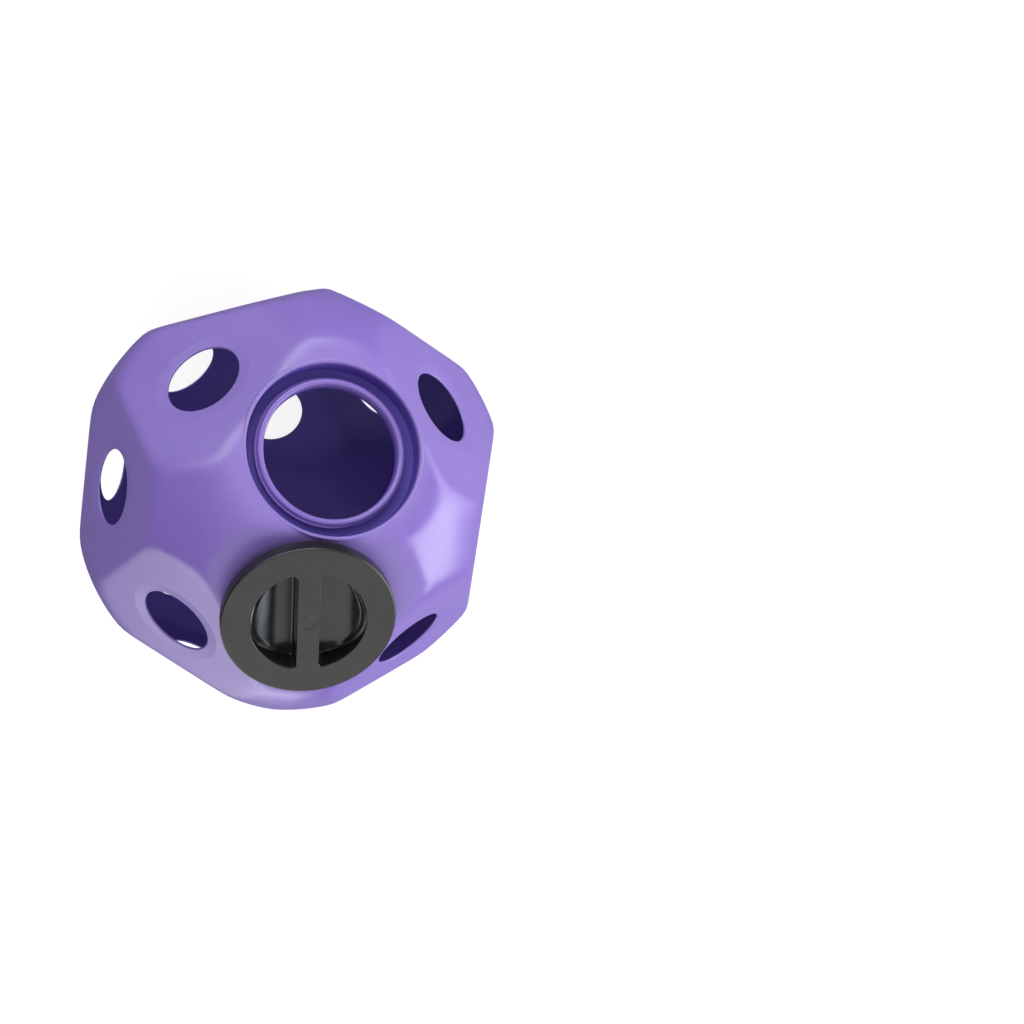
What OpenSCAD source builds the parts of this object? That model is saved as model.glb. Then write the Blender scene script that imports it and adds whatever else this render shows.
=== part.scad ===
// Hay feeding ball: a hollow moulded ball with twenty flats and a screw lid.
// Nineteen flats have a round feed hole and one has the filling mouth.
// The ball stands on a flat with the lid taken off and laid on the flat opposite.
// Origin: on the ground under the middle of the ball. +Z up, the mouth looks to -Y.

/* [Ball] */
// Diameter over the domed corners between the flats
across_corners = 380; // [340:1:420]
// How far the domed corners stand out over the flats
corner_rise = 20; // [16:0.5:24]
// Wall thickness of the moulding
ball_wall = 3; // [2:0.25:5]
// Diameter of the feed holes
hole_d = 62; // [45:1:70]
// Width of the dished border around a feed hole
dish_w = 10; // [6:0.5:15]
// Depth of the dished border at the edge of the hole
dish_depth = 1; // [0.5:0.1:1.5]

/* [Lid] */
// Outside diameter of the lid
lid_d = 132; // [124:1:138]
// Thickness of the lid's top plate
lid_plate = 3; // [2:0.25:5]
// Height of the lid's rim, with its plate
lid_rim_h = 11; // [9:0.5:16]
// Thickness of the lid's threaded skirt
lid_skirt = 4.5; // [3:0.25:6]
// Radius of the lid's rounded upper edge
lid_edge_r = 1.5; // [0.5:0.25:2]
// Diameter of the arc that bounds the two finger wells
well_d = 88; // [76:1:92]
// Depth of the finger wells, beside the grip bar
well_depth = 16.5; // [13:0.5:20]
// Height of the step at the arc, where the scooped floor of a well runs out
well_step = 2; // [0:0.25:3]
// Thickness of the walls of the finger wells
well_wall = 2.5; // [1.5:0.25:4]
// Width of the grip bar between the wells
bar_w = 16; // [12:0.5:24]

/* [Mouth] */
// Space between the neck and the lid's skirt, for the thread
thread_room = 4.5; // [3:0.25:6]
// Thickness of the neck
neck_wall = 5; // [3:0.25:6]
// Gap around the lid in its recess
lid_side_gap = 0.5; // [0.5:0.25:3]
// How far the closed lid lies below the flat
lid_sink = 5; // [0:0.25:8]
// Gap under the skirt of the closed lid
lid_floor_gap = 1; // [0.5:0.25:3]

/* [Lid as laid down] */
// Screw the lid into the mouth instead of laying it on the ball
lid_closed = false; // [true, false]
// Lid's middle, off the middle of the flat, to the right
lid_shift_x = 6; // [-8:0.5:8]
// Lid's middle, off the middle of the flat, to the back
lid_shift_y = 2.5; // [-8:0.5:8]
// Turn of the grip bar from front to back
lid_turn = 9; // [-90:1:90]
// Gap between the lid and the flat that it lies on
rest_gap = 0.3; // [0.1:0.05:0.5]

/* [Hidden] */
$fn = 96;

// Flats of an icosahedron that stands on a flat, each as [tilt from up, direction around]
front = -90;
near_tilt = acos(sqrt(5) / 3);
far_tilt = acos(1 / 3);
far_swing = acos(sqrt(10) / 4);
thirds = [0, 120, 240];
MOUTH = [near_tilt, front];
AXES = concat(
    [[0, front]],
    [for (t = thirds) [near_tilt, front + t]],
    [for (t = thirds, side = [-1, 1]) [far_tilt, front + t + side * far_swing]]
);
HOLES = concat(
    [for (a = AXES) if (a != MOUTH) a],
    [for (a = AXES) [a[0] + 180, a[1]]]
);

corner_r = across_corners / 2;
flat_h = corner_r - corner_rise;
hole_r = hole_d / 2;
lid_r = lid_d / 2;
skirt_r = lid_r - lid_skirt;
neck_r = skirt_r - thread_room;
mouth_r = neck_r - neck_wall;
recess_r = lid_r + lid_side_gap;
rim_drop = lid_plate + lid_sink;
recess_depth = lid_rim_h + lid_sink + lid_floor_gap;
// Extra length on a cut, so that it runs clear of the faces
cut = 1;

// The scoop of a well is round: level beside the bar and rising to the step at the arc
well_r = well_d / 2;
bar_half = bar_w / 2;
scoop_w = well_r - bar_half;
scoop_h = well_depth - well_step;
scoop_r = (scoop_w * scoop_w + scoop_h * scoop_h) / (2 * scoop_h);
lid_h = well_depth + well_wall;

// Puts a shape on one flat: +Z out of the ball, from the ball's middle
module on_flat(axis) {
    rotate([0, axis[0], axis[1]]) children();
}

// A round ball with twenty flats
module faceted_ball(radius, flat) {
    span = 2 * (radius + cut);
    intersection() {
        sphere(radius);
        intersection_for (axis = AXES) on_flat(axis) cube([span, span, 2 * flat], center = true);
    }
}

// The feed hole with its dished border
module feed_hole() {
    translate([0, 0, flat_h - ball_wall - cut]) cylinder(r = hole_r, h = ball_wall + 2 * cut);
    translate([0, 0, flat_h - dish_depth])
        cylinder(r1 = hole_r, r2 = hole_r + dish_w, h = dish_depth);
    translate([0, 0, flat_h]) cylinder(r = hole_r + dish_w, h = cut);
}

// The round cup around the mouth: its floor carries the neck and its edge stands out as a lip
module mouth_cup() {
    cup_h = recess_depth + ball_wall;
    translate([0, 0, flat_h - cup_h]) cylinder(r = recess_r + ball_wall, h = cup_h);
}

// The space of the recess around the neck, and over its rounded rim
module mouth_recess() {
    rim_r = neck_wall / 2;
    translate([0, 0, flat_h]) rotate_extrude() difference() {
        translate([mouth_r, -recess_depth]) square([recess_r - mouth_r, recess_depth + cut]);
        translate([mouth_r, -recess_depth]) square([neck_wall, recess_depth - rim_drop - rim_r]);
        translate([mouth_r + rim_r, -rim_drop - rim_r]) circle(rim_r);
    }
}

// The open way through the neck
module mouth_bore() {
    bore_h = recess_depth + ball_wall + 2 * cut;
    translate([0, 0, flat_h + cut - bore_h]) cylinder(r = mouth_r, h = bore_h);
}

module ball_shell() {
    color([0.52, 0.42, 0.76]) translate([0, 0, flat_h]) difference() {
        union() {
            difference() {
                faceted_ball(corner_r, flat_h);
                faceted_ball(corner_r - ball_wall, flat_h - ball_wall);
            }
            on_flat(MOUTH) mouth_cup();
        }
        for (axis = HOLES) on_flat(axis) feed_hole();
        on_flat(MOUTH) {
            mouth_recess();
            mouth_bore();
        }
    }
}

// The lid's plate and skirt, with the upper edge rounded, top at zero
module lid_cup() {
    rotate_extrude() difference() {
        union() {
            translate([0, -lid_rim_h]) square([lid_r, lid_rim_h - lid_edge_r]);
            translate([0, -lid_plate]) square([lid_r - lid_edge_r, lid_plate]);
            translate([lid_r - lid_edge_r, -lid_edge_r]) circle(lid_edge_r);
        }
        translate([0, -lid_rim_h - cut]) square([skirt_r, lid_rim_h + cut - lid_plate]);
    }
}

// One finger well to the right of the bar, grown outwards by a wall
module well(grow, top) {
    intersection() {
        translate([0, 0, -lid_h]) cylinder(r = well_r + grow, h = lid_h + top);
        translate([bar_half - grow, -well_d, -lid_h]) cube([well_d, 2 * well_d, lid_h + top]);
        translate([bar_half, 0, scoop_r - well_depth])
            rotate([90, 0, 0]) cylinder(r = scoop_r + grow, h = 2 * well_d, center = true);
    }
}

// The lid by itself: top face at zero, the bar along Y
module lid_body() {
    difference() {
        union() {
            lid_cup();
            for (side = [0, 180]) rotate(side) well(well_wall, -lid_edge_r);
        }
        for (side = [0, 180]) rotate(side) well(0, cut);
    }
}

module screw_lid() {
    color([0.16, 0.16, 0.16])
        if (lid_closed)
            translate([0, 0, flat_h]) on_flat(MOUTH) translate([0, 0, flat_h - lid_sink]) lid_body();
        else
            translate([lid_shift_x, lid_shift_y, 2 * flat_h + rest_gap + lid_h])
                rotate(lid_turn) lid_body();
}

ball_shell();
screw_lid();
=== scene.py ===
import math

import bmesh
import bpy
import numpy as np
from mathutils import Matrix, Vector


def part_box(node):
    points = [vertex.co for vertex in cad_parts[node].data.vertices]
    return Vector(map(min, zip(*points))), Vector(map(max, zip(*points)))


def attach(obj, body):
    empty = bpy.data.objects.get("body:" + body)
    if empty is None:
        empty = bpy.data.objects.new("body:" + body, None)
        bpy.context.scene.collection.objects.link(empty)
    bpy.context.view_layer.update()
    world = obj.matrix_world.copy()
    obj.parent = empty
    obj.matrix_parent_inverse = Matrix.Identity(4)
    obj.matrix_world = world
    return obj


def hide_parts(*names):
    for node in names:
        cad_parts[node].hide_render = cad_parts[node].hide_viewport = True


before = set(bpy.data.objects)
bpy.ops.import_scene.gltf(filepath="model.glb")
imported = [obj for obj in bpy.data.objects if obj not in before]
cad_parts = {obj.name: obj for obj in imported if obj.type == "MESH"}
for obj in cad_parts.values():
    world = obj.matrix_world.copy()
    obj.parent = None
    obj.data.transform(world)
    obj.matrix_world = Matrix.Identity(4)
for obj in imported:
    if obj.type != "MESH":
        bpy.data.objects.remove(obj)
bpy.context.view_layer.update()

MM = 0.001

# Ball, as in the solids: half the distance between flats, corner radius and wall
BALL_LOW, BALL_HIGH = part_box("ball_shell")
FLAT = 170 * MM
MIDDLE = np.array([0.0, 0.0, BALL_LOW[2] + FLAT])
CORNER = (BALL_HIGH[1] - BALL_LOW[1]) / 2
WALL = 3 * MM
# A high power keeps the edges between flats and corners crisp, a low one rounds them
EDGE_SHARPNESS = 120
# Circle in which a flat meets the round corners, and half the width that its soft edge takes
RIM_R = math.sqrt(CORNER ** 2 - FLAT ** 2)
RIM_SOFT = 9 * MM
# On a short ray the half width is one part in this many
RIM_PARTS = 5
# Half widths that the rim keeps from the border
RIM_CLEARANCE = 1.5
# The duller look of a flat starts just outside its rim: cosines from its normal, where the rim's is one
FLAT_LOOK_START = 0.99
FLAT_LOOK_SPAN = 0.05

# Flats of an icosahedron: cosine between neighbours, a flat's middle to its edges, number of the mouth
THIRD = 2 * math.pi / 3
NEIGHBOUR_COS = math.sqrt(5) / 3
EDGE_REACH = FLAT * math.tan(math.acos(NEIGHBOUR_COS) / 2)
MOUTH = 0

# Feed holes
HOLE_R = 31 * MM
DISH_R = 41 * MM
DISH_DEPTH = 1 * MM
DISH_MARGIN = 2 * MM
DISH_SHARES = (0, 0.06, 0.14, 0.3, 0.5, 0.7, 0.9)
DISH_SOFT_SHARE = 0.14
HOLE_LIP = 1.2 * MM
HOLE_INNER_LIP = 0.6 * MM

# Mouth: recess, neck and the thread on it, heights down from the flat
RECESS_R = 66.5 * MM
RECESS_DEPTH = 17 * MM
RECESS_LIP = 1.6 * MM
RECESS_LIP_ANGLES = (25, 50, 70, 90)
RECESS_WALL_SHARES = (0.3, 0.6, 1)
RECESS_FILLET = 1 * MM
NECK_R = 57 * MM
MOUTH_R = 52 * MM
RIM_DROP = 8 * MM
CUP_R = RECESS_R + WALL
CUP_DEPTH = RECESS_DEPTH + WALL
CUP_LIP = 1 * MM
LIP_EDGE = 1.2 * MM
LIP_SLOPE = 6
LIP_FOOT = 1.5 * MM
LIP_BLEND = 0.6 * MM
LAND_ANGLE = math.radians(26.3)
RIPPLE_END = 76.5 * MM
RIPPLE_PITCH = 2.8 * MM
RIPPLE_DEPTH = 0.16 * MM
RIPPLE_FADE = 1.5 * MM
RIPPLE_LEAST = 0.25
THREAD_H = 1.8 * MM
THREAD_HALF = 1 * MM
THREAD_PITCH = 3.2 * MM
THREAD_TURNS = 1.08
THREAD_LOW = -15 * MM
THREAD_TAPER = 0.06
THREAD_IMPRINT = 0.5 * MM
# Depth over which the shade painted into the mouth's recess and bore grows to full
PAINTED_SHADE_FADE = 3.5 * MM

# Lid, heights down from its top face
LID_LOW, LID_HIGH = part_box("screw_lid")
LID_MIDDLE = ((LID_LOW[0] + LID_HIGH[0]) / 2, (LID_LOW[1] + LID_HIGH[1]) / 2, LID_HIGH[2])
LID_TURN = math.radians(9)
LID_R = 66 * MM
LID_RIM_H = 11 * MM
LID_RIM_SHARES = (0.4, 0.7)
LID_PLATE = 3 * MM
LID_EDGE_R = 1.5 * MM
LID_FOOT_R = 0.6 * MM
SKIRT_R = 61.5 * MM
SKIRT_THREAD_LOW = -9.2 * MM
BAR_HALF = 8.6 * MM

# Finger wells
WELL_R = 44 * MM
WELL_DEPTH = 16.5 * MM
WELL_STEP = 1.1 * MM
WELL_WALL = 2.5 * MM
WELL_CORNER = 3.5 * MM
WELL_EDGE = 0.8 * MM
WELL_EDGE_ANGLES = (0, 22, 45, 68, 90)
WELL_FILLET = 1 * MM
WELL_FILLET_ANGLES = (30, 60, 90)
WELL_DRAFT = 0.06
WELL_SUPPORT = 0.8 * MM
# How soon the floor leaves its fillet for the scoop, on the way to the middle
WELL_BLEND = 8

# Gate mark on the bar: a shallow dimple with a low boss, whose radii and depth are shares of the dimple's
GATE_R = 6 * MM
GATE_EDGE = 0.3 * MM
GATE_DEPTH = 0.25 * MM
GATE_BOSS_FOOT = 0.5
GATE_BOSS_TOP = 0.4
GATE_BOSS_CORE = 0.1
GATE_BOSS_DEPTH = 0.3

# Camera as worked out from the photo: angles in degrees, the ball's middle and focal length in pixels
CAMERA_AZIMUTH = -20.43
CAMERA_ELEVATION = 59.01
CAMERA_ROLL = 167.93
CAMERA_DISTANCE = 958.1 * MM
CAMERA_CLIP_START = 0.05
BALL_PIXEL = (289.7, 493.9)
AXIS_PIXEL = (289.0, 498.0)
FOCAL_PIXELS = 1070.3
PICTURE = 1024
SENSOR_MM = 36.0

# Purple plastic: linear colours, among them a deeper one painted as shade into the groove and the inside,
# roughness, and shares of frost, dullness, painted shade and scuffs
BALL_DEEP = (0.160, 0.103, 0.375, 1)
BALL_PALE = (0.178, 0.117, 0.405, 1)
BALL_FROST = (0.30, 0.245, 0.50, 1)
# Deeper colour painted as shade into the groove, the bore and over the ball's inside
BALL_PAINTED_SHADE = (0.060, 0.033, 0.275, 1)
BALL_ROUGHNESS = 0.27
BALL_CLOUDINESS = 0.10
FLAT_FROST = 0.12
FLAT_DULLNESS = 0.06
CAVITY_DULLNESS = 0.3
# Share of the painted shade over the ball's inside
INSIDE_SHADE_SHARE = 0.85
SCUFF_SCALE = (300.0, 300.0, 24.0)
SCUFF_SHARE = 0.10
BALL_BLOTCH_SCALE = 7.0
BALL_CLOUD_SCALE = 55.0
# Relief as noise scale and height in millimetres
BALL_WAVES = (22.0, 0.25)
BALL_PEEL = (120.0, 0.06)
BALL_GRAIN = (900.0, 0.008)
# Parting line: height in millimetres, half width of its top and of its foot
SEAM_HEIGHT = 0.12
SEAM_TOP = 0.2 * MM
SEAM_FOOT = 0.8 * MM

# Black plastic, in the same terms
LID_DEEP = (0.006, 0.006, 0.006, 1)
LID_PALE = (0.010, 0.010, 0.010, 1)
LID_SCRATCH = (0.09, 0.09, 0.09, 1)
LID_ROUGHNESS = 0.27
LID_CLOUDINESS = 0.14
LID_WELL_POLISH = 0.16
LID_UNDER_DULLNESS = 0.35
SCRATCH_SCALE = (900.0, 60.0, 60.0)
SCRATCH_SHARE = 0.15
LID_BLOTCH_SCALE = 28.0
LID_CLOUD_SCALE = 160.0
LID_WAVES = (40.0, 0.14)
LID_GRAIN = (1200.0, 0.010)

# Noise: parts of its range that make blotches and marks, and its layers of detail
BLOTCH_RANGE = (0.35, 0.65)
BLOTCH_DETAIL = 3.0
CLOUD_DETAIL = 4.0
CLOUD_ROUGHNESS = 0.6
MARK_RANGE = (0.66, 0.74)
RELIEF_DETAIL = 1.0

# Floor and surroundings: the floor's glow grows to full between a near and a far distance
WHITE = (1, 1, 1, 1)
FLOOR_HALF = 6.0
FLOOR_GAP = 0.5 * MM
FLOOR_GLOW = 1.08
FLOOR_GLOW_SHARE = 0.80
FLOOR_NEAR = 0.35
FLOOR_FAR = 1.5
FLOOR_PALE = (0.85, 0.85, 0.85, 1)
FLOOR_BOUNCE_DEEP = (0.14, 0.14, 0.15, 1)
FLOOR_BOUNCE_PALE = (0.16, 0.16, 0.17, 1)
FLOOR_BLOTCH_SCALE = 3.0
WORLD_LIGHT = 0.06
WORLD_COLOUR = (0.6, 0.6, 1.0, 1)

# Lamps: name, direction and distance from the ball's middle, size in metres, power in watts, colour
LAMPS = (
    ("overhead", (-0.05, 0.57, 0.82), 1.7, (2.2, 1.8), 18.0, (1.0, 1.0, 0.98)),
    ("window", (-0.81, 0.38, 0.45), 1.6, (0.35, 0.5), 2.6, (0.8, 0.9, 1.0)),
    ("fill", (0.18, -0.48, 0.86), 2.2, (3.0, 3.0), 31.0, (1.0, 1.0, 1.0)),
    ("front", (0.36, -0.92, 0.10), 1.6, (2.0, 1.0), 33.0, (1.0, 1.0, 1.0)),
    ("side", (-0.90, -0.42, 0.14), 1.6, (1.2, 1.0), 15.0, (1.0, 1.0, 1.0)),
    ("left", (-0.86, 0.04, 0.50), 1.6, (0.95, 1.05), 22.0, (1.0, 1.0, 1.0)),
    ("back", (0.24, 0.95, 0.17), 1.6, (1.7, 0.8), 15.5, (1.0, 1.0, 1.0)),
)

# Mesh density of the ball: rays round a flat, rows from its border over the rim inwards, rows of profiles
RAYS = 96
OUTER_ROWS = (8, 12, 5)
INNER_ROWS = (3, 6, 3)
LAND_ROWS = (6, 12, 4)
RIPPLE_ROWS = 24
LIP_ROWS = 20
NECK_ROWS = 20
BEAD_ROWS = 13
BORE_ROWS = 18
FILLET_ROWS = 5
HOLE_LIP_ROWS = 6
HOLE_INNER_LIP_ROWS = 4

# Mesh density of the lid
LID_TURNS = 160
LID_EDGE_ROWS = 7
LID_FOOT_ROWS = 4
SKIRT_ROWS = 16
GATE_TURNS = 48
WELL_ARC_POINTS = 57
WELL_CORNER_POINTS = 11
WELL_SIDE_POINTS = 31
WELL_WALL_ROWS = 7
WELL_RINGS = 18

# Searches by halving: how many times, and between which shares of the flat's height
HALVINGS = 40
SEARCH_LOW = 0.6
SEARCH_HIGH = 1.01

# Differences that still count as the same
SAME_COS = 0.01
SAME_ANGLE = 1e-6
SAME_HEIGHT = 1e-6
SAME_POINT = 2e-6


def unit(vectors):
    """Vectors scaled to length one."""
    return vectors / np.linalg.norm(vectors, axis=-1, keepdims=True)


def full_turn(count):
    """Angles evenly round a full turn."""
    return np.arange(count) * (2 * math.pi / count)


def flat_normals():
    """Outward normals of the twenty flats of a ball that stands on a flat, the mouth first."""
    near = math.acos(NEIGHBOUR_COS)
    far = math.acos(1 / 3)
    swing = math.acos(math.sqrt(10) / 4)
    front = -math.pi / 2
    polar = [(near, front + k * THIRD) for k in range(3)] + [(0.0, front)]
    polar += [(far, front + k * THIRD + side * swing) for k in range(3) for side in (-1, 1)]
    half = [(math.sin(t) * math.cos(a), math.sin(t) * math.sin(a), math.cos(t)) for t, a in polar]
    return np.vstack([half, -np.array(half)])


NORMALS = flat_normals()


def neighbours(i):
    """The three flats that share an edge with flat i."""
    cosines = NORMALS @ NORMALS[i]
    return [int(j) for j in np.flatnonzero(np.abs(cosines - NEIGHBOUR_COS) < SAME_COS)]


def towards(i, j):
    """Unit direction in flat i that points to flat j."""
    n = NORMALS[i]
    other = NORMALS[j]
    return unit(other - (other @ n) * n)


def soft_radius(directions, inset):
    """Distance from the ball's middle to its surface, with soft edges between flats and corners."""
    corner = CORNER - inset
    reach = np.clip(directions @ NORMALS.T, 0, None) * (corner / (FLAT - inset))
    return corner * (1 + (reach ** EDGE_SHARPNESS).sum(axis=-1)) ** (-1 / EDGE_SHARPNESS)


def on_surface(points, inset):
    """Points moved in or out along their own direction onto the outer or inner surface."""
    directions = unit(points)
    return directions * soft_radius(directions, inset)[..., None]


def rays(i):
    """Unit directions in flat i, evenly round its middle from the middle of one edge on."""
    across = towards(i, neighbours(i)[0])
    along = np.cross(NORMALS[i], across)
    turn = full_turn(RAYS)
    return np.cos(turn)[:, None] * across + np.sin(turn)[:, None] * along


def border_distance(i):
    """How far each ray of flat i runs: to the edge or, beside the mouth, to the mouth's round land."""
    reach = EDGE_REACH / np.cos((full_turn(RAYS) + THIRD / 2) % THIRD - THIRD / 2)
    if MOUTH not in neighbours(i):
        return reach

    def in_land(distance):
        points = FLAT * NORMALS[i] + distance[:, None] * rays(i)
        return unit(points) @ NORMALS[MOUTH] > math.cos(LAND_ANGLE)

    low, high = np.zeros(RAYS), reach.copy()
    for _ in range(HALVINGS):
        middle = (low + high) / 2
        inside = in_land(middle)
        low, high = np.where(inside, low, middle), np.where(inside, middle, high)
    return np.where(in_land(reach), high, reach)


def row_distances(reach, end, counts):
    """Distances from a cell's border in to end, close together where the flat meets the round corners."""
    soft = np.minimum(RIM_SOFT, (reach - end) / RIM_PARTS)
    rim = np.minimum(RIM_R, reach - RIM_CLEARANCE * soft)
    stops = (reach, rim + soft, rim - soft, np.broadcast_to(end, len(reach)))
    rows = [reach]
    for outer, inner, count in zip(stops[:-1], stops[1:], counts):
        rows += [outer + (inner - outer) * (k + 1) / count for k in range(count)]
    return rows


def arc_rows(centre, radius, start, end, count):
    """Points (distance from the axis, height) on an arc, angles in degrees."""
    angles = np.radians(np.linspace(start, end, count))
    return [(centre[0] + radius * math.cos(a), centre[1] + radius * math.sin(a)) for a in angles]


def hole_profile():
    """The feed hole's section from its dished border over the lips to the inside, heights from the flat."""
    rows = []
    for share in DISH_SHARES:
        rho = DISH_R + (HOLE_R + HOLE_LIP - DISH_R) * share
        rows.append((rho, -DISH_DEPTH * share * min(1, share / DISH_SOFT_SHARE)))
    lip = (HOLE_R + HOLE_LIP, -DISH_DEPTH - HOLE_LIP)
    rows += arc_rows(lip, HOLE_LIP, 90, 180, HOLE_LIP_ROWS)
    inner_lip = (HOLE_R + HOLE_INNER_LIP, -WALL + HOLE_INNER_LIP)
    rows += arc_rows(inner_lip, HOLE_INNER_LIP, 180, 270, HOLE_INNER_LIP_ROWS)
    return rows


def holed_flat(i):
    """Grid of points of a flat with its feed hole: from the outer border through the hole to the inner."""
    n, ray, reach = NORMALS[i], rays(i), border_distance(i)
    rows = []
    for distance in row_distances(reach, DISH_R + DISH_MARGIN, OUTER_ROWS):
        rows.append(on_surface(FLAT * n + distance[:, None] * ray, 0))
    for rho, height in hole_profile():
        rows.append((FLAT + height) * n + rho * ray)
    for distance in reversed(row_distances(reach, HOLE_R + 2 * HOLE_INNER_LIP, INNER_ROWS)):
        rows.append(on_surface(FLAT * n + distance[:, None] * ray, WALL))
    return np.stack(rows, axis=1)


def mouth_border():
    """Directions of the mouth's border, taken from its neighbours' rays so that the cells meet."""
    n = NORMALS[MOUTH]
    found = []
    for j in neighbours(MOUTH):
        ray = rays(j)
        toward = towards(j, MOUTH)
        side = np.arctan2(np.cross(toward, ray) @ NORMALS[j], ray @ toward)
        facing = (side > -THIRD / 2 - SAME_ANGLE) & (side < THIRD / 2 - SAME_ANGLE)
        points = FLAT * NORMALS[j] + border_distance(j)[:, None] * ray
        found.append(unit(points[facing]))
    found = np.vstack(found)
    across = towards(MOUTH, neighbours(MOUTH)[0])
    turn = np.arctan2(found @ np.cross(n, across), found @ across)
    order = np.argsort(turn)
    return found[order], turn[order]


def height_at(ray, rho, inset):
    """Height along the mouth's axis at which the surface lies rho from that axis."""
    n = NORMALS[MOUTH]
    low, high = np.full(len(ray), SEARCH_LOW * FLAT), np.full(len(ray), SEARCH_HIGH * FLAT)
    for _ in range(HALVINGS):
        middle = (low + high) / 2
        points = middle[:, None] * n + np.broadcast_to(rho, len(ray))[:, None] * ray
        length = np.linalg.norm(points, axis=1)
        outside = length > soft_radius(points / length[:, None], inset)
        low, high = np.where(outside, low, middle), np.where(outside, middle, high)
    return (low + high) / 2


def land_height(ray, rho):
    """Height of the land around the recess: the surface with fine rings, and the lip that stands out."""
    surface = height_at(ray, rho, 0)
    level = np.clip(1 - (FLAT - surface) / RIPPLE_FADE, 0, 1)
    level = level * np.clip(RIPPLE_LEAST - ray[:, 0], RIPPLE_LEAST, 1)
    wave = 0.5 - 0.5 * np.cos(2 * math.pi * np.clip(RIPPLE_END - rho, 0, None) / RIPPLE_PITCH)
    surface = surface - RIPPLE_DEPTH * wave * level
    rounding = np.clip(rho - CUP_R + LIP_EDGE, 0, LIP_EDGE)
    lip = FLAT - LIP_EDGE + np.sqrt(LIP_EDGE ** 2 - rounding ** 2)
    lip = lip - LIP_SLOPE * np.clip(rho - CUP_R, 0, None)
    blend = np.clip(LIP_BLEND - np.abs(surface - lip), 0, None) ** 2 / (4 * LIP_BLEND)
    return np.maximum(surface, lip) + blend


def thread(turn, height, low):
    """Share of the thread's full height at a turn in radians and a height; the ridge starts at low."""
    total = np.zeros_like(turn)
    for lap in range(math.ceil(THREAD_TURNS)):
        laps = (turn % (2 * math.pi)) / (2 * math.pi) + lap
        taper = np.clip(np.minimum(laps, THREAD_TURNS - laps) / THREAD_TAPER, 0, 1)
        away = (height - low - THREAD_PITCH * laps) / THREAD_HALF
        total = np.maximum(total, taper * np.clip(1 - away ** 2, 0, 1))
    return total


def mouth_flat():
    """Grid of points of the mouth: land, recess, threaded neck, cup under the recess, inner surface."""
    n = NORMALS[MOUTH]
    border, turn = mouth_border()
    ray = unit(border - (border @ n)[:, None] * n)
    outer, inner = on_surface(border, 0), on_surface(border, WALL)
    rows = [outer]

    def add(rho, height):
        rows.append(np.broadcast_to(height, RAYS)[:, None] * n + np.broadcast_to(rho, RAYS)[:, None] * ray)

    # Land, from the border to the lip
    border_rho = np.linalg.norm(np.cross(outer, n), axis=1)
    for rho in row_distances(border_rho, RIPPLE_END, LAND_ROWS)[1:]:
        add(rho, land_height(ray, rho))
    land_end = RECESS_R + RECESS_LIP
    for rho in np.linspace(RIPPLE_END, CUP_R + LIP_FOOT, RIPPLE_ROWS)[1:]:
        add(rho, land_height(ray, rho))
    for rho in np.linspace(CUP_R + LIP_FOOT, land_end, LIP_ROWS)[1:]:
        add(rho, land_height(ray, rho))

    # Recess, down its wall and over its floor to the neck
    edge = land_height(ray, land_end)
    for a in np.radians(RECESS_LIP_ANGLES):
        add(land_end - RECESS_LIP * math.sin(a), edge - RECESS_LIP * (1 - math.cos(a)))
    wall_low = FLAT - RECESS_DEPTH + RECESS_FILLET
    for share in RECESS_WALL_SHARES:
        add(RECESS_R, (edge - RECESS_LIP) * (1 - share) + wall_low * share)
    wall_foot = (RECESS_R - RECESS_FILLET, wall_low)
    for rho, height in arc_rows(wall_foot, RECESS_FILLET, 0, -90, FILLET_ROWS)[1:]:
        add(rho, height)
    neck_foot = (NECK_R + RECESS_FILLET, wall_low)
    for rho, height in arc_rows(neck_foot, RECESS_FILLET, 270, 180, FILLET_ROWS):
        add(rho, height)

    # Neck, up its thread, over its round rim and down its bore
    bead = (NECK_R - MOUTH_R) / 2
    bead_height = FLAT - RIM_DROP - bead
    for height in np.linspace(wall_low, bead_height, NECK_ROWS)[1:]:
        add(NECK_R + THREAD_H * thread(turn, height - FLAT, THREAD_LOW), height)
    for rho, height in arc_rows((MOUTH_R + bead, bead_height), bead, 0, 180, BEAD_ROWS)[1:]:
        add(rho, height)
    cup_low = FLAT - CUP_DEPTH + CUP_LIP
    for height in np.linspace(bead_height, cup_low, BORE_ROWS)[1:]:
        add(MOUTH_R + THREAD_IMPRINT * thread(turn, height - FLAT, THREAD_LOW), height)

    # Underside of the cup, up its outside and along the inner surface to the border
    for rho, height in arc_rows((MOUTH_R + CUP_LIP, cup_low), CUP_LIP, 180, 270, FILLET_ROWS)[1:]:
        add(rho, height)
    for rho, height in arc_rows((CUP_R - CUP_LIP, cup_low), CUP_LIP, -90, 0, FILLET_ROWS):
        add(rho, height)
    add(CUP_R, (height_at(ray, CUP_R, WALL) + cup_low) / 2)
    inner_rho = np.linalg.norm(np.cross(inner, n), axis=1)
    for rho in row_distances(inner_rho, CUP_R, INNER_ROWS)[:0:-1]:
        add(rho, height_at(ray, rho, WALL))
    rows.append(inner)
    return np.stack(rows, axis=1)


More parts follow.
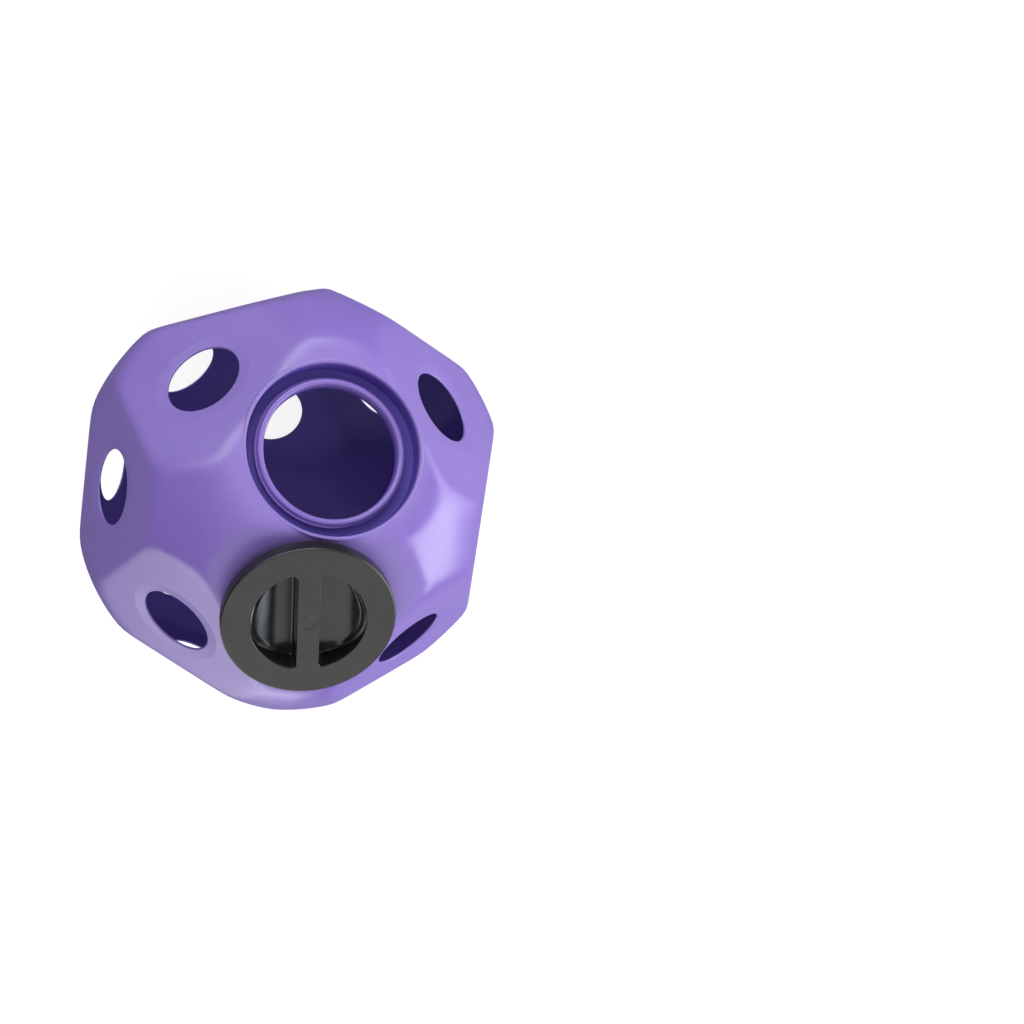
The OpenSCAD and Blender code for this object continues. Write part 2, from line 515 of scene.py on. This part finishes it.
class Builder:
    """Collects grids of points as quads and turns them into one mesh object."""

    def __init__(self):
        self.points = []
        self.faces = []

    def add_points(self, points):
        """Adds points and gives the number of the first."""
        first = len(self.points)
        self.points.extend(points.tolist())
        return first

    def add_grid(self, grid):
        """A grid of points [ring, row], closed round the rings."""
        rings, rows = grid.shape[:2]
        first = self.add_points(grid.reshape(-1, 3))
        for a in range(rings):
            b = (a + 1) % rings
            for row in range(rows - 1):
                quad = (a * rows + row, b * rows + row, b * rows + row + 1, a * rows + row + 1)
                self.faces.append([first + v for v in quad])

    def close_fan(self, ring, tip):
        """Triangles from a ring of points to one point in its middle."""
        first = self.add_points(np.vstack([ring, tip]))
        count = len(ring)
        for a in range(count):
            self.faces.append([first + a, first + (a + 1) % count, first + count])

    def to_object(self, name, fill_heights=()):
        """The mesh as an object: points merged, flat openings at the given heights filled, normals out."""
        mesh = bpy.data.meshes.new(name)
        mesh.from_pydata(self.points, [], self.faces)
        bm = bmesh.new()
        bm.from_mesh(mesh)
        bmesh.ops.remove_doubles(bm, verts=bm.verts, dist=SAME_POINT)
        for height in fill_heights:
            rim = [
                e for e in bm.edges
                if len(e.link_faces) == 1 and all(abs(v.co.z - height) < SAME_HEIGHT for v in e.verts)
            ]
            bmesh.ops.triangle_fill(bm, use_beauty=True, edges=rim)
        bmesh.ops.recalc_face_normals(bm, faces=bm.faces)
        bm.to_mesh(mesh)
        bm.free()
        mesh.shade_smooth()
        obj = bpy.data.objects.new(name, mesh)
        bpy.context.scene.collection.objects.link(obj)
        return obj


def write_share(obj, name, values):
    """Stores one number per point for the materials."""
    attribute = obj.data.attributes.new(name, "FLOAT", "POINT")
    attribute.data.foreach_set("value", np.asarray(values, dtype=np.float32))


def mesh_points(obj):
    """The object's points as an array."""
    points = np.empty(len(obj.data.vertices) * 3)
    obj.data.vertices.foreach_get("co", points)
    return points.reshape(-1, 3)


def painted_shade(points, depth):
    """Share of shade painted at each point: none outside and on the neck's rim, growing down the holes'
    walls, most in the groove, somewhat less over the inside.
    """
    height = points @ NORMALS[MOUTH]
    rho = np.linalg.norm(points - height[:, None] * NORMALS[MOUTH], axis=1)
    in_mouth = (rho < RECESS_R + RECESS_LIP) & (height > FLAT - CUP_DEPTH - WALL)
    on_neck = in_mouth & (rho < NECK_R + THREAD_H)
    outer = np.where(in_mouth, RECESS_LIP, DISH_DEPTH + HOLE_LIP)
    start = np.where(on_neck, RIM_DROP + NECK_R - MOUTH_R, outer)
    below = np.where(in_mouth, FLAT - height, depth)
    fade = np.where(in_mouth, PAINTED_SHADE_FADE, WALL - DISH_DEPTH - HOLE_LIP)
    return np.clip((below - start) / fade, 0, 1) * np.where(in_mouth, 1, INSIDE_SHADE_SHARE)


def make_shell():
    """The moulded ball with its holes, mouth and threaded neck."""
    builder = Builder()
    builder.add_grid(mouth_flat() + MIDDLE)
    for i in range(len(NORMALS)):
        if i != MOUTH:
            builder.add_grid(holed_flat(i) + MIDDLE)
    shell = builder.to_object("moulded_shell")
    from_middle = mesh_points(shell) - MIDDLE
    length = np.linalg.norm(from_middle, axis=1)
    directions = from_middle / length[:, None]
    depth = soft_radius(directions, 0) - length
    reach = (directions @ NORMALS.T).max(axis=1) * (CORNER / FLAT)
    flat = np.clip((reach - FLAT_LOOK_START) / FLAT_LOOK_SPAN, 0, 1)
    write_share(shell, "flat_share", (depth < WALL / 2) * flat ** 2 * (3 - 2 * flat))
    # Where shade is painted into the groove, the holes' walls and the inside
    write_share(shell, "painted_shade_share", painted_shade(from_middle, depth))
    return shell


def well_outline():
    """Points and outward normals of the right finger well's outline: arc, corners and the bar's side."""
    cx = BAR_HALF + WELL_CORNER
    cy = math.sqrt((WELL_R - WELL_CORNER) ** 2 - cx ** 2)
    end = math.degrees(math.atan2(cy, cx))
    points = arc_rows((0, 0), WELL_R, -end, end, WELL_ARC_POINTS)
    normals = arc_rows((0, 0), 1, -end, end, WELL_ARC_POINTS)
    points += arc_rows((cx, cy), WELL_CORNER, end, 180, WELL_CORNER_POINTS)[1:]
    normals += arc_rows((0, 0), 1, end, 180, WELL_CORNER_POINTS)[1:]
    half_side = (WELL_SIDE_POINTS + 1) / 2
    points += [(BAR_HALF, cy * (1 - (k + 1) / half_side)) for k in range(WELL_SIDE_POINTS)]
    normals += [(-1, 0)] * WELL_SIDE_POINTS
    points += arc_rows((cx, -cy), WELL_CORNER, 180, 360 - end, WELL_CORNER_POINTS)[:-1]
    normals += arc_rows((0, 0), 1, 180, 360 - end, WELL_CORNER_POINTS)[:-1]
    return np.array(points), np.array(normals)


def well_floor(x):
    """Depth of the scooped floor: level beside the bar, rising in a round to the step at the arc."""
    width, rise = WELL_R - BAR_HALF, WELL_DEPTH - WELL_STEP
    radius = (width ** 2 + rise ** 2) / (2 * rise)
    away = np.clip(x - BAR_HALF, 0, width + WELL_WALL)
    return WELL_DEPTH - radius + np.sqrt(radius ** 2 - away ** 2)


def well_grid(wall, top):
    """A finger well's inside (no wall) or underside: rings from the plate down to its floor's middle."""
    outline, normals = well_outline()
    rings = []

    def add(grow, depth):
        flat = outline + np.broadcast_to(grow, len(outline))[:, None] * normals
        rings.append(np.column_stack([flat, -np.broadcast_to(depth, len(outline))]))

    floor = well_floor(outline[:, 0]) + wall
    add(wall + WELL_EDGE + WELL_SUPPORT, top)
    for a in np.radians(WELL_EDGE_ANGLES):
        add(wall + WELL_EDGE * (1 - math.sin(a)), top + WELL_EDGE * (1 - math.cos(a)))
    start = top + WELL_EDGE
    low = np.maximum(floor - WELL_FILLET, start)
    for share in np.linspace(0, 1, WELL_WALL_ROWS)[1:]:
        depth = start + (low - start) * share
        add(wall - WELL_DRAFT * (depth - start), depth)
    for a in np.radians(WELL_FILLET_ANGLES):
        depth = np.maximum(floor - WELL_FILLET * (1 - math.sin(a)), start)
        add(wall - WELL_DRAFT * (low - start) - WELL_FILLET * (1 - math.cos(a)), depth)
    centre = np.array([(WELL_R + BAR_HALF) / 2, 0.0])
    border = rings[-1]
    for share in np.linspace(0, 1, WELL_RINGS + 1)[1:-1]:
        flat = border[:, :2] + (centre - border[:, :2]) * share
        blend = np.minimum(1, share * WELL_BLEND)
        depth = -border[:, 2] * (1 - blend) + (well_floor(flat[:, 0]) + wall) * blend
        rings.append(np.column_stack([flat, -depth]))
    tip = np.array([*centre, -well_floor(centre[0]) - wall])
    return np.stack(rings, axis=1), tip


def turned_rows(profile, turn):
    """A grid turned about the vertical from rows of (distance, height), each a number or one per ray."""
    rows = []
    for rho, height in profile:
        rho = np.broadcast_to(rho, len(turn))
        height = np.broadcast_to(height, len(turn))
        rows.append(np.column_stack([rho * np.cos(turn), rho * np.sin(turn), height]))
    return np.stack(rows, axis=1)


def lid_profile(turn):
    """The lid's section from its plate over the rim and up the threaded skirt to the plate's underside."""
    foot = -LID_RIM_H + LID_FOOT_R
    roof = -LID_PLATE - RECESS_FILLET
    rows = [(LID_R - LID_EDGE_R - WELL_SUPPORT, 0.0)]
    rows += arc_rows((LID_R - LID_EDGE_R, -LID_EDGE_R), LID_EDGE_R, 90, 0, LID_EDGE_ROWS)
    rows += [(LID_R, -LID_RIM_H * share) for share in LID_RIM_SHARES]
    rows += arc_rows((LID_R - LID_FOOT_R, foot), LID_FOOT_R, 0, -90, LID_FOOT_ROWS)
    rows += arc_rows((SKIRT_R + LID_FOOT_R, foot), LID_FOOT_R, 270, 180, LID_FOOT_ROWS)
    for height in np.linspace(foot, roof, SKIRT_ROWS)[1:]:
        rows.append((SKIRT_R - THREAD_H * thread(turn, height, SKIRT_THREAD_LOW), height))
    rows += arc_rows((SKIRT_R - RECESS_FILLET, roof), RECESS_FILLET, 0, 90, FILLET_ROWS)[1:]
    rows.append((SKIRT_R - RECESS_FILLET - WELL_SUPPORT, -LID_PLATE))
    return rows


def gate_profile():
    """The gate mark's section from the bar's face to its boss."""
    boss = -GATE_DEPTH * GATE_BOSS_DEPTH
    rows = [(GATE_R + GATE_EDGE, 0.0), (GATE_R, 0.0), (GATE_R - GATE_EDGE, -GATE_DEPTH)]
    rows.append((GATE_R * GATE_BOSS_FOOT, -GATE_DEPTH))
    rows += [(GATE_R * share, boss) for share in (GATE_BOSS_TOP, GATE_BOSS_CORE)]
    return rows


def make_lid():
    """The screw lid: plate, rounded rim, threaded skirt, two finger wells and the gate mark on the bar."""
    builder = Builder()
    turn = full_turn(LID_TURNS)
    builder.add_grid(turned_rows(lid_profile(turn), turn))
    half_turn = np.diag([-1.0, -1.0, 1.0])
    for wall, top in ((0.0, 0.0), (WELL_WALL, LID_PLATE)):
        grid, tip = well_grid(wall, top)
        for place in (np.eye(3), half_turn):
            builder.add_grid(grid @ place)
            builder.close_fan(grid[:, -1] @ place, tip @ place)
    gate = gate_profile()
    grid = turned_rows(gate, full_turn(GATE_TURNS))
    builder.add_grid(grid)
    builder.close_fan(grid[:, -1], np.array([0.0, 0.0, gate[-1][1]]))
    lid = builder.to_object("moulded_lid", fill_heights=(0.0, -LID_PLATE))
    points = mesh_points(lid)
    around = np.linalg.norm(points[:, :2], axis=1)
    beside = np.abs(points[:, 0])
    in_well = (beside > BAR_HALF - WELL_WALL / 2) & (around < WELL_R + WELL_WALL / 2)
    depth = np.where(in_well, well_floor(beside), 0) + WELL_WALL / 2
    under = (points[:, 2] < -depth) & (around < (SKIRT_R + LID_R) / 2)
    write_share(lid, "under_share", under)
    write_share(lid, "well_share", in_well & (points[:, 2] < -WELL_EDGE) & ~under)
    lid.data.transform(Matrix.Translation(LID_MIDDLE) @ Matrix.Rotation(LID_TURN, 4, "Z"))
    return lid


class Tree:
    """Builds the nodes of one material or world."""

    def __init__(self, owner):
        owner.use_nodes = True
        self.tree = owner.node_tree
        self.tree.nodes.clear()

    def node(self, kind, inputs, **settings):
        """A node with its settings; inputs are numbers, colours or other nodes' outputs."""
        made = self.tree.nodes.new(kind)
        for key, value in settings.items():
            setattr(made, key, value)
        for key, value in inputs.items():
            if isinstance(value, bpy.types.NodeSocket):
                self.tree.links.new(value, made.inputs[key])
            else:
                made.inputs[key].default_value = value
        return made

    def math(self, operation, a, b=0.0):
        """One operation on one or two numbers."""
        return self.node("ShaderNodeMath", {0: a, 1: b}, operation=operation).outputs[0]

    def noise(self, position, scale, detail=2.0, roughness=0.5):
        """Smooth noise from nought to one."""
        inputs = {"Vector": position, "Scale": scale, "Detail": detail, "Roughness": roughness}
        return self.node("ShaderNodeTexNoise", inputs).outputs[0]

    def spread(self, value, low, high, to_low=0.0, to_high=1.0):
        """The value's range low to high stretched to another range, held at its ends."""
        inputs = {0: value, 1: low, 2: high, 3: to_low, 4: to_high}
        return self.node("ShaderNodeMapRange", inputs, clamp=True).outputs[0]

    def mix(self, factor, a, b):
        """Two colours blended."""
        return self.node("ShaderNodeMix", {0: factor, 6: a, 7: b}, data_type="RGBA").outputs[2]

    def share(self, name):
        """A number that the mesh stores for each point."""
        return self.node("ShaderNodeAttribute", {}, attribute_name=name).outputs["Fac"]

    def position(self):
        """The place on the object."""
        return self.node("ShaderNodeTexCoord", {}).outputs["Object"]

    def blotches(self, position, scale):
        """Broad soft patches."""
        return self.spread(self.noise(position, scale, BLOTCH_DETAIL), *BLOTCH_RANGE)

    def clouds(self, position, scale):
        """Fine uneven patches."""
        return self.noise(position, scale, CLOUD_DETAIL, CLOUD_ROUGHNESS)

    def marks(self, position, scale, share):
        """Sparse long marks, of a strength up to share."""
        stretched = self.node("ShaderNodeMapping", {"Vector": position, "Scale": scale}).outputs[0]
        return self.spread(self.noise(stretched, 1.0), *MARK_RANGE, 0.0, share)

    def relief(self, position, scale, height_mm):
        """Low bumps of a scale and a height."""
        return self.math("MULTIPLY", self.noise(position, scale, RELIEF_DETAIL), height_mm)

    def plastic(self, colour, roughness, height_mm):
        """A plastic surface with a relief, as the tree's result."""
        bump = self.node("ShaderNodeBump", {"Strength": 1.0, "Distance": MM, "Height": height_mm})
        inputs = {"Base Color": colour, "Roughness": roughness, "Normal": bump.outputs[0]}
        self.finish(self.node("ShaderNodeBsdfPrincipled", inputs).outputs[0])

    def finish(self, shader, kind="ShaderNodeOutputMaterial"):
        """Makes a shader the tree's result."""
        self.node(kind, {"Surface": shader})


def parting_line(tree, position):
    """Share of the parting line's height: it runs round the ball through the mouth and a flat beside it."""
    beside = max((NORMALS[j] for j in neighbours(MOUTH)), key=lambda n: n[0])
    across = unit(np.cross(NORMALS[MOUTH], beside))
    seam = tree.node("ShaderNodeVectorMath", {0: position, 1: tuple(across)}, operation="DOT_PRODUCT")
    offset = tree.math("SUBTRACT", seam.outputs["Value"], float(MIDDLE @ across))
    return tree.spread(tree.math("ABSOLUTE", offset), SEAM_TOP, SEAM_FOOT, 1.0, 0.0)


def ball_material():
    """Purple blow-moulded plastic: satin domes, slightly duller flats, a parting line, faint scuffs, and
    shade painted into the groove and the inside.
    """
    material = bpy.data.materials.new("purple_moulded_plastic")
    tree = Tree(material)
    position = tree.position()
    flat = tree.share("flat_share")
    shade_share = tree.share("painted_shade_share")
    colour = tree.mix(tree.blotches(position, BALL_BLOTCH_SCALE), BALL_DEEP, BALL_PALE)
    colour = tree.mix(tree.math("MULTIPLY", flat, FLAT_FROST), colour, BALL_FROST)
    colour = tree.mix(tree.marks(position, SCUFF_SCALE, SCUFF_SHARE), colour, BALL_FROST)
    # Shade painted into the groove and over the inside, as a deeper colour
    colour = tree.mix(shade_share, colour, BALL_PAINTED_SHADE)
    dull = tree.math("MULTIPLY", flat, FLAT_DULLNESS)
    dull = tree.math("ADD", dull, tree.math("MULTIPLY", shade_share, CAVITY_DULLNESS))
    cloudy = tree.math("MULTIPLY", tree.clouds(position, BALL_CLOUD_SCALE), BALL_CLOUDINESS)
    roughness = tree.math("ADD", tree.math("ADD", dull, cloudy), BALL_ROUGHNESS)
    height = tree.math("ADD", tree.relief(position, *BALL_PEEL), tree.relief(position, *BALL_GRAIN))
    height = tree.math("ADD", height, tree.relief(position, *BALL_WAVES))
    line = tree.math("MULTIPLY", parting_line(tree, position), flat)
    height = tree.math("ADD", height, tree.math("MULTIPLY", line, SEAM_HEIGHT))
    tree.plastic(colour, roughness, height)
    return material


def lid_material():
    """Black moulded plastic: satin on the plate, polished in the wells, dull below, with fine scratches."""
    material = bpy.data.materials.new("black_moulded_plastic")
    tree = Tree(material)
    position = tree.position()
    well = tree.share("well_share")
    colour = tree.mix(tree.blotches(position, LID_BLOTCH_SCALE), LID_DEEP, LID_PALE)
    colour = tree.mix(tree.marks(position, SCRATCH_SCALE, SCRATCH_SHARE), colour, LID_SCRATCH)
    cloudy = tree.math("MULTIPLY", tree.clouds(position, LID_CLOUD_SCALE), LID_CLOUDINESS)
    roughness = tree.math("ADD", cloudy, LID_ROUGHNESS)
    dull = tree.math("MULTIPLY", tree.share("under_share"), LID_UNDER_DULLNESS)
    roughness = tree.math("ADD", roughness, dull)
    roughness = tree.math("SUBTRACT", roughness, tree.math("MULTIPLY", well, LID_WELL_POLISH))
    grain = tree.relief(position, *LID_GRAIN)
    grain = tree.math("MULTIPLY", grain, tree.math("SUBTRACT", 1.0, well))
    height = tree.math("ADD", tree.relief(position, *LID_WAVES), grain)
    tree.plastic(colour, roughness, height)
    return material


def floor_material():
    """Pale studio floor: nearly white to the camera, with the ball's soft shadow, dimmer in its bounce."""
    material = bpy.data.materials.new("studio_floor")
    tree = Tree(material)
    position = tree.position()
    tint = tree.mix(tree.noise(position, FLOOR_BLOTCH_SCALE), FLOOR_BOUNCE_DEEP, FLOOR_BOUNCE_PALE)
    plain = tree.node("ShaderNodeBsdfDiffuse", {"Color": tint}).outputs[0]
    pale = tree.node("ShaderNodeBsdfDiffuse", {"Color": FLOOR_PALE}).outputs[0]
    lit = tree.node("ShaderNodeEmission", {"Color": WHITE, "Strength": FLOOR_GLOW}).outputs[0]
    away = tree.node("ShaderNodeVectorMath", {0: position}, operation="LENGTH").outputs["Value"]
    glow = tree.spread(away, FLOOR_NEAR, FLOOR_FAR, FLOOR_GLOW_SHARE, 1.0)
    bright = tree.node("ShaderNodeMixShader", {0: glow, 1: pale, 2: lit}).outputs[0]
    seen = tree.node("ShaderNodeLightPath", {}).outputs["Is Camera Ray"]
    tree.finish(tree.node("ShaderNodeMixShader", {0: seen, 1: plain, 2: bright}).outputs[0])
    return material


def make_floor():
    """A wide plane under the ball."""
    mesh = bpy.data.meshes.new("floor")
    sides = ((-1, -1), (1, -1), (1, 1), (-1, 1))
    corners = [(x * FLOOR_HALF, y * FLOOR_HALF, -FLOOR_GAP) for x, y in sides]
    mesh.from_pydata(corners, [], [(0, 1, 2, 3)])
    floor = bpy.data.objects.new("floor", mesh)
    bpy.context.scene.collection.objects.link(floor)
    floor.data.materials.append(floor_material())
    return floor


def make_world():
    """White to the camera, a low even light to everything else."""
    world = bpy.data.worlds.new("studio")
    tree = Tree(world)
    seen = tree.node("ShaderNodeLightPath", {}).outputs["Is Camera Ray"]
    strength = tree.spread(seen, 0.0, 1.0, WORLD_LIGHT, 1.0)
    colour = tree.mix(seen, WORLD_COLOUR, WHITE)
    background = tree.node("ShaderNodeBackground", {"Color": colour, "Strength": strength})
    tree.finish(background.outputs[0], "ShaderNodeOutputWorld")
    bpy.context.scene.world = world


def make_lamp(name, direction, distance, size, power, colour):
    """A soft rectangular lamp in a direction from the ball's middle, facing it."""
    lamp = bpy.data.lights.new(name, "AREA")
    lamp.shape = "RECTANGLE"
    lamp.size, lamp.size_y = size
    lamp.energy = power
    lamp.color = colour
    obj = bpy.data.objects.new(name, lamp)
    obj.location = Vector(MIDDLE) + Vector(direction).normalized() * distance
    obj.rotation_euler = (Vector(MIDDLE) - obj.location).to_track_quat("-Z", "Y").to_euler()
    bpy.context.scene.collection.objects.link(obj)


def make_camera():
    """The photographer's camera, turned about its own axis as the picture is, the ball off to one side."""
    azimuth, elevation, roll = (math.radians(a) for a in (CAMERA_AZIMUTH, CAMERA_ELEVATION, CAMERA_ROLL))
    level = Vector((math.sin(azimuth), math.cos(azimuth), 0))
    forward = level * math.cos(elevation) - Vector((0, 0, math.sin(elevation)))
    level_right = forward.cross(Vector((0, 0, 1))).normalized()
    level_up = level_right.cross(forward)
    right = level_right * math.cos(roll) + level_up * math.sin(roll)
    up = level_up * math.cos(roll) - level_right * math.sin(roll)
    across = (BALL_PIXEL[0] - AXIS_PIXEL[0]) / FOCAL_PIXELS
    above = (AXIS_PIXEL[1] - BALL_PIXEL[1]) / FOCAL_PIXELS
    location = Vector(MIDDLE) - CAMERA_DISTANCE * (forward + across * right + above * up)
    data = bpy.data.cameras.new("camera")
    data.sensor_width = SENSOR_MM
    data.lens = SENSOR_MM * FOCAL_PIXELS / PICTURE
    data.shift_x = (PICTURE / 2 - AXIS_PIXEL[0]) / PICTURE
    data.shift_y = (AXIS_PIXEL[1] - PICTURE / 2) / PICTURE
    data.clip_start = CAMERA_CLIP_START
    camera = bpy.data.objects.new("camera", data)
    turn = Matrix((right, up, -forward)).transposed().to_4x4()
    camera.matrix_world = Matrix.Translation(location) @ turn
    bpy.context.scene.collection.objects.link(camera)
    bpy.context.scene.camera = camera


shell = make_shell()
shell.data.materials.append(ball_material())
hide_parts("ball_shell")
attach(shell, "ball")

lid = make_lid()
lid.data.materials.append(lid_material())
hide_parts("screw_lid")
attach(lid, "lid")

floor = make_floor()
make_world()
for lamp in LAMPS:
    make_lamp(*lamp)
make_camera()
bpy.context.scene.view_settings.view_transform = "Standard"
